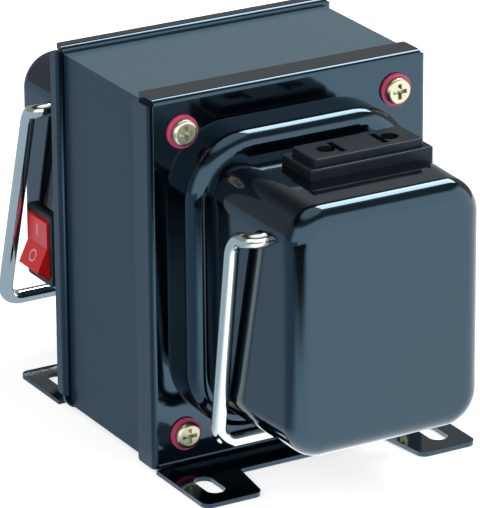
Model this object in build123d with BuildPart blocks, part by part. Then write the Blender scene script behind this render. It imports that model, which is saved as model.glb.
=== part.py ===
# Small mains transformer: an EI core with its coil, closed front and back by two drawn steel
# bells with feet. The front bell carries a two-pin outlet, the rear bell a rocker switch, a fuse
# holder and the mains grommet, and each bell has a wire bail.
# Millimetres. +Z is up and the front bell looks towards -Y. The origin lies on the base plane,
# under the middle of the whole object. Distances along Y are given from the middle of the core.
import os
from math import cos, radians, sin, sqrt, tan

from build123d import *

os.makedirs("parts", exist_ok=True)

# Core of E and I laminations, with the back of the E and the I upright
core_width = 80.0
core_height = 100.0
core_depth = 48.0
leg = 16.0
tongue = 32.0
bolt_margin = 8.0

# Sheet steel of both bells
sheet = 1.2
core_lift = 1.4
lip_bend = 0.3
lip_gap = 0.3
lip_depth = 8.6
lip_corner = 0.8
lip_foot = 0.8
rim_overhang = 2.0
rim_depth = 4.2
rim_end = 1.4
rim_corner = 4.0
rim_foot = 0.3
rim_notch = 4.2

# Drawn shape of a bell: a low shoulder, then the deep part
shoulder_inset_side = 6.0
shoulder_inset_top = 8.8
shoulder_depth = 9.0
shoulder_corner = 18.0
shoulder_edge = 1.9
flange_fillet = 0.8
ledge_side = 4.9
ledge_top = 6.3
ledge_fillet = 2.7
bell_depth = 50.0
bell_corner = 11.0
bell_edge = 7.0
draft = 1.3

# Feet bent out from the lower edge of each bell
foot_bend = 1.0
foot_overhang = 1.4
foot_reach = 27.2
foot_plate_reach = 11.4
foot_tab_root = 19.4
foot_tab_tip = 17.2
foot_corner = 2.5
notch_corner = 1.0
slot_width = 5.2
slot_length = 11.2
slot_inset = 7.4
slot_reach = 16.2
root_reach = 5.0

# Coil on its former
former_wall = 1.0
former_end_gap = 0.2
cheek = 1.2
cheek_window_gap = 2.0
cheek_overhang = 15.5
cheek_corner = 8.0
coil_clear = 4.6
primary_share = 0.575
layer_tape = 0.6
wrap_tape = 0.5
tag_board_size = (34.0, 10.0, 1.6)
tag_board_rise = 9.6
tag_count = 6
tag_pitch = 5.4
tag_size = (2.2, 0.5, 6.5)

# Four screws that clamp bells and core
screw_d = 4.0
screw_fit = 0.1
sleeve_wall = 0.5
head_d = 7.2
head_height = 1.7
head_round = 1.0
recess_width = 1.1
recess_span = 4.2
recess_depth = 1.1
washer_d = 8.9
washer_sheet = 0.8
lock_d = 7.0
lock_sheet = 0.9
lock_split = 0.9
nut_flats = 7.0
nut_height = 3.2
screw_tail = 1.8

# Outlet in the top of the front bell
outlet_x = 6.0
outlet_reach = 24.2
lower_tier = (36.8, 15.2, 2.7)
upper_tier = (32.6, 12.0, 2.1)
lower_tier_skirt = 2.4
outlet_stem = (31.0, 10.4, 13.0)
stem_gap = 0.3
tier_corner = 1.0
tier_edge = 0.5
pin_pitch = 19.0
pin_hole_d = 4.9
blade_pitch = 12.7
blade_slot = (1.8, 7.6)
outlet_face = 3.0
chamber_pitch = 15.8
chamber = (9.2, 8.8)
contact_sheet = 0.6
contact_width = 6.4
contact_top_gap = 0.5
contact_tail = (2.5, 5.0)

# Rocker switch in the left wall of the rear bell
switch_reach = 35.4
switch_z = 33.8
bezel = (15.0, 21.0, 1.6)
bezel_corner = 1.2
bezel_edge = 0.5
switch_body = (12.8, 19.2, 13.0)
body_gap = 0.15
switch_floor = 4.6
rocker_width = 11.2
rocker_radius = 8.6
rocker_gap = 0.2
rocker_crease = 3.2
rocker_tip = 4.8
rocker_under = 1.0
rocker_tilt = 12.5
pivot_depth = 1.0
pin_d = 2.0
pin_length = 0.4
pin_gap = 0.05
terminal = (4.8, 0.8, 7.5)
terminal_root = 2.5
terminal_pitch = 9.6

# Fuse holder and mains grommet in the back of the rear bell
fuse_x = 12.5
fuse_z = 44.0
holder_d = 11.8
holder_length = 28.0
holder_flange_d = 15.0
holder_flange = 1.8
holder_bore_d = 8.6
holder_floor = 1.5
holder_hole_gap = 0.1
holder_nut_d = 17.0
holder_nut_height = 2.6
cap_d = 10.6
cap_height = 2.6
cap_gap = 0.05
cap_stem = 11.0
cap_slot = (7.0, 1.4, 1.2)
fuse_d = 5.0
fuse_length = 20.0
ferrule_length = 5.5
ferrule_wall = 0.3
glass_wall = 0.6
end_tab = (4.0, 0.8, 6.0)
side_tab = (3.0, 0.8, 5.0)
side_tab_place = 12.0
grommet_x = -12.5
grommet_z = 40.0
cord_bore_d = 7.0
grommet_neck_d = 12.4
grommet_flange_d = 15.4
grommet_flange = 1.6
grommet_nose_d = 11.0
grommet_nose = 2.6
grommet_bead_d = 14.2
grommet_bead = 2.4
grommet_tail = 4.0

# Wire bails, one on each bell, in holes through its side walls
wire_d = 4.0
pivot_gap = 0.08
bail_out = 4.1
bail_end = 4.6
pivot_drop = 26.4
crossbar_z = 12.2
corner_bend = 5.0
front_pivot_reach = 36.5
front_entry_bend = 4.0
front_hook = (9.3, -1.8)
front_hook_bend = 7.2
front_swing = 21.0
front_lean = 1.5
rear_pivot_reach = 29.5
rear_entry_bend = 3.2
rear_hook = (5.2, -1.9)
rear_hook_bend = 5.0
rear_swing = 23.5
rear_lean = 0.0
clip_d = 6.6
clip_sheet = 0.9
clip_gap = 0.6

# Places worked out from the sizes above
lip_turn = lip_bend + sheet
foot_turn = foot_bend + sheet
core_top = core_lift + core_height
core_middle = core_lift + core_height / 2
core_face = core_depth / 2
window_length = core_width - 2 * leg
window_height = (core_height - 2 * leg - tongue) / 2
bolt_x = core_width - 2 * bolt_margin
bolt_z = core_height - 2 * bolt_margin
flange_face = core_face + sheet
lip_half = core_width / 2 + lip_gap + sheet
foot_half = core_width / 2 + foot_overhang
slot_side = foot_half - slot_inset
lip_top = core_top + lip_gap + sheet
rim_half = core_width / 2 + rim_overhang
root_half = rim_half - rim_notch
rim_top = core_top + rim_overhang
shoulder_width = core_width - 2 * shoulder_inset_side
shoulder_height = core_height - 2 * shoulder_inset_top
shoulder_face = flange_face + shoulder_depth
root_width = shoulder_width - 2 * ledge_side
root_height = shoulder_height - 2 * ledge_top
bell_face = flange_face + bell_depth
slot_y = flange_face + slot_reach
outlet_y = -flange_face - outlet_reach
switch_y = flange_face + switch_reach
front_pivot_y = -flange_face - front_pivot_reach
rear_pivot_y = flange_face + rear_pivot_reach
pivot_z = core_top - pivot_drop
tag_board_z = core_middle + tag_board_rise
sleeve_hole_d = screw_d + 2 * screw_fit
core_hole_d = sleeve_hole_d + 2 * sleeve_wall + 2 * screw_fit
front_reach = bell_face
rear_reach = max(
    bell_face + holder_flange + cap_gap + cap_height,
    bell_face + grommet_flange + grommet_nose,
    rear_pivot_y + rear_swing + wire_d / 2,
)
middle_y = (front_reach - rear_reach) / 2


def level(z):
    """Horizontal work plane, seen from above."""
    return Plane((0, middle_y, z))


def upright(y):
    """Work plane that faces the front, with its up direction along Z."""
    return Plane((0, middle_y + y, 0), x_dir=(1, 0, 0), z_dir=(0, -1, 0))


def side(x):
    """Work plane that faces right, with Y across and Z up."""
    return Plane((x, middle_y, 0), x_dir=(0, 1, 0), z_dir=(1, 0, 0))


def wall_at(y):
    """Half the outside width of a bell's deep part, at a distance y from the middle."""
    return root_width / 2 - (abs(y) - shoulder_face) * tan(radians(draft))


def roof_at(y):
    """Height of the outside top of a bell's deep part, at a distance y from the middle."""
    return core_middle + root_height / 2 - (abs(y) - shoulder_face) * tan(radians(draft))


def loop_at(part, y, half_width, half_height):
    """Edges of a part that lie in one upright plane and inside a window round the middle."""
    found = []
    for edge in part.edges():
        box = edge.bounding_box()
        flat = abs(box.min.Y - middle_y - y) < 0.01 and abs(box.max.Y - middle_y - y) < 0.01
        narrow = max(abs(box.min.X), abs(box.max.X)) < half_width + 0.05
        low = max(abs(box.min.Z - core_middle), abs(box.max.Z - core_middle)) < half_height + 0.05
        if flat and narrow and low:
            found.append(edge)
    return found


def dome(inset):
    """The drawn shape as one solid: outer skin at inset 0, inner skin at the sheet's inset."""
    start = flange_face - inset
    ledge = start + shoulder_depth
    with BuildPart() as shape:
        with BuildSketch(upright(-start)):
            with Locations((0, core_middle)):
                RectangleRounded(
                    shoulder_width - 2 * inset, shoulder_height - 2 * inset, shoulder_corner - inset
                )
        extrude(amount=shoulder_depth)
        fillet(shape.edges().group_by(Axis.Y)[0], shoulder_edge - inset)
        with BuildSketch(upright(-ledge)):
            with Locations((0, core_middle)):
                RectangleRounded(root_width - 2 * inset, root_height - 2 * inset, bell_corner - inset)
        extrude(amount=bell_depth - shoulder_depth, taper=draft)
        fillet(shape.edges().group_by(Axis.Y)[0], bell_edge - inset)
        root = loop_at(shape.part, -ledge, root_width / 2 - inset, root_height / 2 - inset)
        fillet(root, ledge_fillet + inset)
    return shape.part


def turned_edge(edge, face, depth, bend):
    """Section of a plate's edge turned over: a quarter bend, then a straight lip."""
    turn = bend + sheet
    with BuildSketch() as section:
        with Locations((edge - turn, face + turn)):
            Circle(turn)
            Circle(bend, mode=Mode.SUBTRACT)
            Rectangle(turn, turn, align=(Align.MIN, Align.MAX), mode=Mode.INTERSECT)
        with Locations((edge - sheet, face + turn)):
            Rectangle(sheet, depth - turn, align=(Align.MIN, Align.MIN))
    return section.sketch


def lip_ends(part, y):
    """Short edges at the ends of the lips of a flange, where their free edge lies at y."""
    found = []
    for edge in part.edges():
        if abs(edge.length - sheet) < 0.01 and abs(edge.center().Y - middle_y - y) < 0.01:
            found.append(edge)
    return found


def feet():
    """Plan of the front bell's two feet: a plate with two tapered tabs and their slots."""
    plate = flange_face + foot_plate_reach
    tip = flange_face + foot_reach
    start = core_face + foot_turn
    root = foot_half - foot_tab_root
    end = foot_half - foot_tab_tip
    with BuildSketch() as plan:
        with BuildLine():
            Polyline(
                (-foot_half, -start), (foot_half, -start), (foot_half, -tip), (end, -tip),
                (root, -plate), (-root, -plate), (-end, -tip), (-foot_half, -tip), close=True,
            )
        make_face()
        fillet(plan.vertices().group_by(Axis.Y)[0], foot_corner)
        fillet([v for v in plan.vertices() if abs(abs(v.X) - root) < 0.01], notch_corner)
        with Locations((-slot_side, -slot_y), (slot_side, -slot_y)):
            SlotOverall(slot_length, slot_width, rotation=90, mode=Mode.SUBTRACT)
    return plan.sketch


outer_dome = dome(0)
inner_dome = dome(sheet)
across_middle = Plane((0, middle_y, 0), x_dir=(1, 0, 0), z_dir=(0, -1, 0))
rear_outer_dome = outer_dome.mirror(across_middle)
rear_inner_dome = inner_dome.mirror(across_middle)

# Core

with BuildPart() as e_laminations:
    with BuildSketch(upright(core_face)):
        with Locations((leg / 2, core_middle)):
            Rectangle(core_width - leg, core_height)
        with Locations((0, core_middle)):
            with GridLocations(0, tongue + window_height, 1, 2):
                Rectangle(window_length, window_height, mode=Mode.SUBTRACT)
        with Locations((bolt_x / 2, core_middle)):
            with GridLocations(0, bolt_z, 1, 2):
                Circle(core_hole_d / 2, mode=Mode.SUBTRACT)
    extrude(amount=core_depth)
e_laminations.part.label = "e_laminations"

with BuildPart() as i_laminations:
    with BuildSketch(upright(core_face)):
        with Locations((-(core_width - leg) / 2, core_middle)):
            Rectangle(leg, core_height)
        with Locations((-bolt_x / 2, core_middle)):
            with GridLocations(0, bolt_z, 1, 2):
                Circle(core_hole_d / 2, mode=Mode.SUBTRACT)
    extrude(amount=core_depth)
i_laminations.part.label = "i_laminations"

# Coil, wound round the tongue

tube_y = core_depth + 2 * former_wall
tube_z = tongue + 2 * former_wall
tube_length = window_length - 2 * former_end_gap
winding_length = tube_length - 2 * cheek

with BuildPart() as coil_former:
    with BuildSketch(side(-tube_length / 2)):
        with Locations((0, core_middle)):
            RectangleRounded(tube_y, tube_z, former_wall)
    extrude(amount=tube_length)
    for end in (-tube_length / 2, tube_length / 2 - cheek):
        with BuildSketch(side(end)):
            with Locations((0, core_middle)):
                RectangleRounded(
                    core_depth + 2 * cheek_overhang,
                    tongue + 2 * (window_height - cheek_window_gap),
                    cheek_corner,
                )
        extrude(amount=cheek)
    with BuildSketch(side(-tube_length / 2)):
        with Locations((0, core_middle)):
            Rectangle(core_depth, tongue)
    extrude(amount=tube_length, mode=Mode.SUBTRACT)
coil_former.part.label = "coil_former"


def layer(inside, build):
    """Section of one wound layer: its inner side lies this far outside the former's tube."""
    with BuildSketch() as section:
        with Locations((0, core_middle)):
            outside = inside + build
            RectangleRounded(tube_y + 2 * outside, tube_z + 2 * outside, former_wall + outside)
            RectangleRounded(
                tube_y + 2 * inside, tube_z + 2 * inside, former_wall + inside, mode=Mode.SUBTRACT
            )
    return section.sketch


coil_build = window_height - former_wall - coil_clear - layer_tape - wrap_tape
primary_build = primary_share * coil_build
secondary_build = coil_build - primary_build
tape_start = primary_build
secondary_start = tape_start + layer_tape
wrap_start = secondary_start + secondary_build
coil_face = tube_y / 2 + wrap_start + wrap_tape

with BuildPart() as primary_winding:
    with BuildSketch(side(-winding_length / 2)):
        add(layer(0, primary_build))
    extrude(amount=winding_length)
primary_winding.part.label = "primary_winding"

with BuildPart() as layer_insulation:
    with BuildSketch(side(-winding_length / 2)):
        add(layer(tape_start, layer_tape))
    extrude(amount=winding_length)
layer_insulation.part.label = "layer_insulation"

with BuildPart() as secondary_winding:
    with BuildSketch(side(-winding_length / 2)):
        add(layer(secondary_start, secondary_build))
    extrude(amount=winding_length)
secondary_winding.part.label = "secondary_winding"

with BuildPart() as coil_wrap:
    with BuildSketch(side(-winding_length / 2)):
        add(layer(wrap_start, wrap_tape))
    extrude(amount=winding_length)
coil_wrap.part.label = "coil_wrap"

# Tag board on the front of the coil, with a row of solder tags

with BuildPart() as tag_board:
    with BuildSketch(upright(-coil_face)):
        with Locations((0, tag_board_z)):
            Rectangle(tag_board_size[0], tag_board_size[1])
    extrude(amount=tag_board_size[2])
    with BuildSketch(upright(-coil_face)):
        with Locations((0, tag_board_z)):
            with GridLocations(tag_pitch, 0, tag_count, 1):
                Rectangle(tag_size[0], tag_size[1])
    extrude(amount=tag_board_size[2], mode=Mode.SUBTRACT)
tag_board.part.label = "tag_board"

with BuildPart() as solder_tags:
    with BuildSketch(upright(-coil_face)):
        with Locations((0, tag_board_z)):
            with GridLocations(tag_pitch, 0, tag_count, 1):
                Rectangle(tag_size[0], tag_size[1])
    extrude(amount=tag_size[2])
solder_tags.part.label = "solder_tags"

# Front bell: flange with lips folded back over the core, feet, and the drawn dome

with BuildPart() as front_bell:
    bend_line = lip_half - lip_turn
    with BuildSketch(upright(-core_face)):
        with Locations((0, foot_turn)):
            Rectangle(2 * bend_line, lip_top - lip_turn - foot_turn, align=(Align.CENTER, Align.MIN))
    extrude(amount=sheet)
    with BuildSketch(level(lip_foot)):
        add(turned_edge(lip_half, -flange_face, lip_depth, lip_bend))
        mirror(about=Plane.YZ)
    extrude(amount=lip_top - lip_turn - lip_foot)
    with BuildSketch(Plane((bend_line, middle_y, 0), x_dir=(0, 0, 1), z_dir=(-1, 0, 0))):
        add(turned_edge(lip_top, -flange_face, lip_depth, lip_bend))
    extrude(amount=2 * bend_line)
    fillet(lip_ends(front_bell.part, lip_depth - flange_face), lip_corner)
    with BuildSketch(Plane((bend_line, middle_y, 0), x_dir=(0, 0, -1), z_dir=(-1, 0, 0))):
        add(turned_edge(0, core_face, 2 * foot_turn, foot_bend))
    extrude(amount=2 * bend_line)
    with BuildSketch(level(0)):
        add(feet())
    extrude(amount=sheet)
    add(outer_dome)
    fillet(loop_at(front_bell.part, -flange_face, shoulder_width / 2, shoulder_height / 2), flange_fillet)
    add(inner_dome, mode=Mode.SUBTRACT)
    mouth = loop_at(front_bell.part, -core_face, shoulder_width / 2 - sheet, shoulder_height / 2 - sheet)
    fillet(mouth, flange_fillet + sheet)
    with BuildSketch(upright(-core_face)):
        with Locations((0, core_middle)):
            with GridLocations(bolt_x, bolt_z, 2, 2):
                Circle(sleeve_hole_d / 2)
    extrude(amount=sheet, mode=Mode.SUBTRACT)
    with BuildSketch(side(0)):
        with Locations((front_pivot_y, pivot_z)):
            Circle(wire_d / 2 + pivot_gap)
    extrude(amount=root_width, both=True, mode=Mode.SUBTRACT)
    with BuildSketch(level(roof_at(outlet_y) - 2 * sheet)):
        with Locations((outlet_x, outlet_y)):
            Rectangle(outlet_stem[0] + 2 * stem_gap, outlet_stem[1] + 2 * stem_gap)
    extrude(amount=4 * sheet, mode=Mode.SUBTRACT)
front_bell.part.label = "front_bell"

# Rear bell: flange wider than the core, with its rim turned to the rear

with BuildPart() as rear_bell:
    bend_line = rim_half - lip_turn
    rim_start = rim_foot + rim_corner
    with BuildSketch(upright(flange_face)) as plate:
        with BuildLine():
            Polyline(
                (-root_half, foot_turn), (-root_half, rim_foot), (-rim_half, rim_foot),
                (-rim_half, rim_start), (-bend_line, rim_start), (-bend_line, rim_top - lip_turn),
                (bend_line, rim_top - lip_turn), (bend_line, rim_start), (rim_half, rim_start),
                (rim_half, rim_foot), (root_half, rim_foot), (root_half, foot_turn), close=True,
            )
        make_face()
        corners = [v for v in plate.vertices() if abs(v.X) > rim_half - 0.01 and v.Y < rim_start - 0.01]
        fillet(corners, rim_corner - 0.1)
    extrude(amount=sheet)
    with BuildSketch(level(rim_start)):
        add(turned_edge(rim_half, core_face, rim_depth, lip_bend))
        mirror(about=Plane.YZ)
    extrude(amount=rim_top - lip_turn - rim_start)
    with BuildSketch(Plane((bend_line, middle_y, 0), x_dir=(0, 0, 1), z_dir=(-1, 0, 0))):
        add(turned_edge(rim_top, core_face, rim_depth, lip_bend))
    extrude(amount=2 * bend_line)
    fillet(lip_ends(rear_bell.part, core_face + rim_depth), rim_end)
    with BuildSketch(Plane((-root_half, middle_y, 0), x_dir=(0, 0, -1), z_dir=(1, 0, 0))):
        add(turned_edge(0, core_face, 2 * foot_turn, foot_bend))
    extrude(amount=2 * root_half)
    with BuildSketch(level(0)):
        add(feet().mirror(Plane.XZ))
        for edge_x in (-foot_half, foot_half):
            with Locations((edge_x, core_face)):
                Rectangle(2 * (foot_half - root_half), 2 * root_reach, mode=Mode.SUBTRACT)
    extrude(amount=sheet)
    add(rear_outer_dome)
    fillet(loop_at(rear_bell.part, flange_face, shoulder_width / 2, shoulder_height / 2), flange_fillet)
    add(rear_inner_dome, mode=Mode.SUBTRACT)
    mouth = loop_at(rear_bell.part, core_face, shoulder_width / 2 - sheet, shoulder_height / 2 - sheet)
    fillet(mouth, flange_fillet + sheet)
    with BuildSketch(upright(flange_face)):
        with Locations((0, core_middle)):
            with GridLocations(bolt_x, bolt_z, 2, 2):
                Circle(sleeve_hole_d / 2)
    extrude(amount=sheet, mode=Mode.SUBTRACT)
    with BuildSketch(side(0)):
        with Locations((rear_pivot_y, pivot_z)):
            Circle(wire_d / 2 + pivot_gap)
    extrude(amount=root_width, both=True, mode=Mode.SUBTRACT)
    with BuildSketch(side(-root_width / 2 - sheet)):
        with Locations((switch_y, switch_z)):
            Rectangle(switch_body[0] + 2 * body_gap, switch_body[1] + 2 * body_gap)
    extrude(amount=4 * sheet, mode=Mode.SUBTRACT)
    with BuildSketch(upright(bell_face)):
        with Locations((fuse_x, fuse_z)):
            Circle(holder_d / 2 + holder_hole_gap)
        with Locations((grommet_x, grommet_z)):
            Circle(grommet_neck_d / 2)
    extrude(amount=sheet, mode=Mode.SUBTRACT)
rear_bell.part.label = "rear_bell"

# Screws, from the front through washers, bells and core to the nuts behind

washer_out = flange_face + washer_sheet
lock_out = washer_out + lock_sheet
nut_out = lock_out + nut_height


def bolt_places():
    """The four screw places in an upright plane."""
    return GridLocations(bolt_x, bolt_z, 2, 2)


with BuildPart() as core_screws:
    with BuildSketch(upright(-washer_out)):
        with Locations((0, core_middle)):
            with bolt_places():
                Circle(head_d / 2)
    extrude(amount=head_height)
    fillet(core_screws.edges().group_by(Axis.Y)[0], head_round)
    with BuildSketch(upright(-washer_out - head_height + recess_depth)):
        with Locations((0, core_middle)):
            with bolt_places():
                Rectangle(recess_span, recess_width)
                Rectangle(recess_width, recess_span)
    extrude(amount=recess_depth, mode=Mode.SUBTRACT)
    with BuildSketch(upright(-washer_out)):
        with Locations((0, core_middle)):
            with bolt_places():
                Circle(screw_d / 2)
    extrude(amount=-(washer_out + nut_out + screw_tail))
core_screws.part.label = "core_screws"

with BuildPart() as fibre_washers:
    for back_face in (-flange_face, washer_out):
        with BuildSketch(upright(back_face)):
            with Locations((0, core_middle)):
                with bolt_places():
                    Circle(washer_d / 2)
                    Circle(sleeve_hole_d / 2, mode=Mode.SUBTRACT)
        extrude(amount=washer_sheet)
fibre_washers.part.label = "fibre_washers"

with BuildPart() as bolt_sleeves:
    with BuildSketch(upright(core_face)):
        with Locations((0, core_middle)):
            with bolt_places():
                Circle(sleeve_hole_d / 2 + sleeve_wall)
                Circle(sleeve_hole_d / 2, mode=Mode.SUBTRACT)
    extrude(amount=core_depth)
bolt_sleeves.part.label = "bolt_sleeves"

with BuildPart() as lock_washers:
    with BuildSketch(upright(lock_out)):
        with Locations((0, core_middle)):
            with bolt_places():
                Circle(lock_d / 2)
                Circle(sleeve_hole_d / 2, mode=Mode.SUBTRACT)
                Rectangle(lock_split, lock_d, align=(Align.CENTER, Align.MIN), mode=Mode.SUBTRACT)
    extrude(amount=lock_sheet)
lock_washers.part.label = "lock_washers"

with BuildPart() as core_nuts:
    with BuildSketch(upright(nut_out)):
        with Locations((0, core_middle)):
            with bolt_places():
                RegularPolygon(nut_flats / 2, 6, major_radius=False)
                Circle(screw_d / 2, mode=Mode.SUBTRACT)
    extrude(amount=nut_height)
core_nuts.part.label = "core_nuts"

# Outlet: two stepped tiers on the roof of the front bell, a stem inside, and two spring clips

outlet_seat = roof_at(outlet_y)
outlet_top = outlet_seat + lower_tier[2] + upper_tier[2]
stem_bottom = outlet_seat - outlet_stem[2]
clip_height = outlet_top - outlet_face - contact_top_gap - stem_bottom

with BuildPart() as outlet_body:
    with BuildSketch(level(outlet_seat - lower_tier_skirt)):
        with Locations((outlet_x, outlet_y)):
            RectangleRounded(lower_tier[0], lower_tier[1], tier_corner)
    extrude(amount=lower_tier[2] + lower_tier_skirt)
    fillet(outlet_body.edges().group_by(Axis.Z)[-1], tier_edge)
    add(outer_dome, mode=Mode.SUBTRACT)
    with BuildSketch(level(outlet_seat + lower_tier[2])):
        with Locations((outlet_x, outlet_y)):
            RectangleRounded(upper_tier[0], upper_tier[1], tier_corner)
    extrude(amount=upper_tier[2])
    fillet(outlet_body.edges().group_by(Axis.Z)[-1], tier_edge)
    with BuildSketch(level(stem_bottom)):
        with Locations((outlet_x, outlet_y)):
            Rectangle(outlet_stem[0], outlet_stem[1])
    extrude(amount=outlet_stem[2] + sheet)
    with BuildSketch(level(stem_bottom)):
        with Locations((outlet_x, outlet_y)):
            with GridLocations(chamber_pitch, 0, 2, 1):
                Rectangle(chamber[0], chamber[1])
    extrude(amount=outlet_top - outlet_face - stem_bottom, mode=Mode.SUBTRACT)
    with BuildSketch(level(outlet_top - outlet_face)):
        with Locations((outlet_x, outlet_y)):
            with GridLocations(pin_pitch, 0, 2, 1):
                Circle(pin_hole_d / 2)
            with GridLocations(blade_pitch, 0, 2, 1):
                Rectangle(blade_slot[0], blade_slot[1])
    extrude(amount=outlet_face, mode=Mode.SUBTRACT)
outlet_body.part.label = "outlet_body"

with BuildPart() as outlet_contacts:
    with BuildSketch(upright(outlet_y + contact_width / 2)):
        with Locations((outlet_x, stem_bottom)):
            with GridLocations(chamber_pitch, 0, 2, 1):
                Rectangle(chamber[0], clip_height, align=(Align.CENTER, Align.MIN))
        with Locations((outlet_x, stem_bottom + contact_sheet)):
            with GridLocations(chamber_pitch, 0, 2, 1):
                Rectangle(
                    chamber[0] - 2 * contact_sheet, clip_height,
                    align=(Align.CENTER, Align.MIN), mode=Mode.SUBTRACT,
                )
    extrude(amount=contact_width)
    with BuildSketch(upright(outlet_y + contact_sheet / 2)):
        with Locations((outlet_x, stem_bottom)):
            with GridLocations(chamber_pitch, 0, 2, 1):
                Rectangle(contact_tail[0], contact_tail[1], align=(Align.CENTER, Align.MAX))
    extrude(amount=contact_sheet)
outlet_contacts.part.label = "outlet_contacts"

# Wire bails and the push-on clips that keep their ends inside the bells


def bail_points(pivot_y, hook, swing, lean):
    """Corner points of one bail, from its left end round to its right end."""
    end = wall_at(pivot_y) - bail_end
    arm = wall_at(pivot_y) + bail_out
    drop = (swing, crossbar_z - pivot_z)
    half = []
    for x, step in ((end, (0, 0)), (arm, (0, 0)), (arm, hook), (arm - lean, drop)):
        half.append((x, middle_y + pivot_y + step[0], pivot_z + step[1]))
    left = [(-x, y, z) for x, y, z in half]
    return left + half[::-1]


with BuildPart() as front_bail:
    bends = [front_entry_bend, front_hook_bend, corner_bend]
    with BuildLine() as wire:
        corners = bail_points(front_pivot_y, front_hook, front_swing, front_lean)
        FilletPolyline(*corners, radius=bends + bends[::-1])
    with BuildSketch(Plane(wire.line @ 0, z_dir=wire.line % 0)):
        Circle(wire_d / 2)
    sweep()
front_bail.part.label = "front_bail"

with BuildPart() as front_bail_clips:
    clip_x = wall_at(front_pivot_y) - sheet - clip_gap - clip_sheet
    for start in (clip_x, -clip_x - clip_sheet):
        with BuildSketch(side(start)):
            with Locations((front_pivot_y, pivot_z)):
                Circle(clip_d / 2)
                Circle(wire_d / 2, mode=Mode.SUBTRACT)
        extrude(amount=clip_sheet)
front_bail_clips.part.label = "front_bail_clips"

with BuildPart() as rear_bail:
    bends = [rear_entry_bend, rear_hook_bend, corner_bend]
    with BuildLine() as wire:
        corners = bail_points(rear_pivot_y, rear_hook, rear_swing, rear_lean)
        FilletPolyline(*corners, radius=bends + bends[::-1])
    with BuildSketch(Plane(wire.line @ 0, z_dir=wire.line % 0)):
        Circle(wire_d / 2)
    sweep()
rear_bail.part.label = "rear_bail"

with BuildPart() as rear_bail_clips:
    clip_x = wall_at(rear_pivot_y) - sheet - clip_gap - clip_sheet
    for start in (clip_x, -clip_x - clip_sheet):
        with BuildSketch(side(start)):
            with Locations((rear_pivot_y, pivot_z)):
                Circle(clip_d / 2)
                Circle(wire_d / 2, mode=Mode.SUBTRACT)
        extrude(amount=clip_sheet)
rear_bail_clips.part.label = "rear_bail_clips"

# Rocker switch: housing with its frame, rocker on two pins, two blade terminals

switch_wall = wall_at(switch_y)
pivot_x = switch_wall - pivot_depth
opening_y = rocker_width + 2 * rocker_gap
opening_z = 2 * (rocker_radius + rocker_gap)

with BuildPart() as switch_housing:
    with BuildSketch(side(-switch_wall - bezel[2])):
        with Locations((switch_y, switch_z)):
            RectangleRounded(bezel[0], bezel[1], bezel_corner)
    extrude(amount=bezel[2] + sheet / 2)
    fillet(switch_housing.edges().group_by(Axis.X)[0], bezel_edge)
    add(rear_outer_dome, mode=Mode.SUBTRACT)
    with BuildSketch(side(-switch_wall - bezel[2] / 2)):
        with Locations((switch_y, switch_z)):
            Rectangle(switch_body[0], switch_body[1])
    extrude(amount=bezel[2] / 2 + switch_body[2])
    with BuildSketch(side(-switch_wall - bezel[2])):
        with Locations((switch_y, switch_z)):
            Rectangle(opening_y, opening_z)
    extrude(amount=bezel[2] + switch_floor, mode=Mode.SUBTRACT)
    with BuildSketch(upright(switch_y + rocker_width / 2 + pin_length + pin_gap)):
        with Locations((-pivot_x, switch_z)):
            Circle(pin_d / 2 + pin_gap)
    extrude(amount=rocker_width + 2 * (pin_length + pin_gap), mode=Mode.SUBTRACT)
    with BuildSketch(side(-switch_wall + switch_body[2])):
        with Locations((switch_y, switch_z)):
            with GridLocations(0, terminal_pitch, 1, 2):
                Rectangle(terminal[0], terminal[1])
    extrude(amount=-terminal_root, mode=Mode.SUBTRACT)
switch_housing.part.label = "switch_housing"

with BuildPart() as switch_rocker:
    tilt = radians(rocker_tilt)
    hinge = (-pivot_x, middle_y + switch_y - rocker_width / 2, switch_z)
    under = sqrt(rocker_radius**2 - rocker_under**2)
    tip = sqrt(rocker_radius**2 - rocker_tip**2)
    shoulder = rocker_radius * cos(radians(70)), rocker_radius * sin(radians(70))
    with BuildSketch(Plane(hinge, x_dir=(-cos(tilt), 0, sin(tilt)), z_dir=(0, 1, 0))):
        with BuildLine():
            Polyline((rocker_tip, -tip), (rocker_crease, 0), (rocker_tip, tip))
            ThreePointArc((rocker_tip, tip), shoulder, (-rocker_under, under))
            Line((-rocker_under, under), (-rocker_under, -under))
            ThreePointArc((-rocker_under, -under), (shoulder[0], -shoulder[1]), (rocker_tip, -tip))
        make_face()
    extrude(amount=rocker_width)
    with BuildSketch(upright(switch_y + rocker_width / 2 + pin_length)):
        with Locations((-pivot_x, switch_z)):
            Circle(pin_d / 2)
    extrude(amount=rocker_width + 2 * pin_length)
switch_rocker.part.label = "switch_rocker"

with BuildPart() as switch_terminals:
    with BuildSketch(side(-switch_wall + switch_body[2] - terminal_root)):
        with Locations((switch_y, switch_z)):
            with GridLocations(0, terminal_pitch, 1, 2):
                Rectangle(terminal[0], terminal[1])
    extrude(amount=terminal_root + terminal[2])
switch_terminals.part.label = "switch_terminals"

# Fuse holder in the back of the rear bell, with its cap and the fuse

holder_out = bell_face + holder_flange
holder_in = bell_face - holder_length
fuse_in = holder_in + holder_floor
fuse_out = fuse_in + fuse_length

with BuildPart() as fuse_holder:
    with BuildSketch(upright(holder_out)):
        with Locations((fuse_x, fuse_z)):
            Circle(holder_flange_d / 2)
    extrude(amount=holder_flange)
    with BuildSketch(upright(holder_out)):
        with Locations((fuse_x, fuse_z)):
            Circle(holder_d / 2)
    extrude(amount=holder_out - holder_in)
    with BuildSketch(upright(holder_out)):
        with Locations((fuse_x, fuse_z)):
            Circle(holder_bore_d / 2)
    extrude(amount=holder_out - fuse_in, mode=Mode.SUBTRACT)
fuse_holder.part.label = "fuse_holder"

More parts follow.
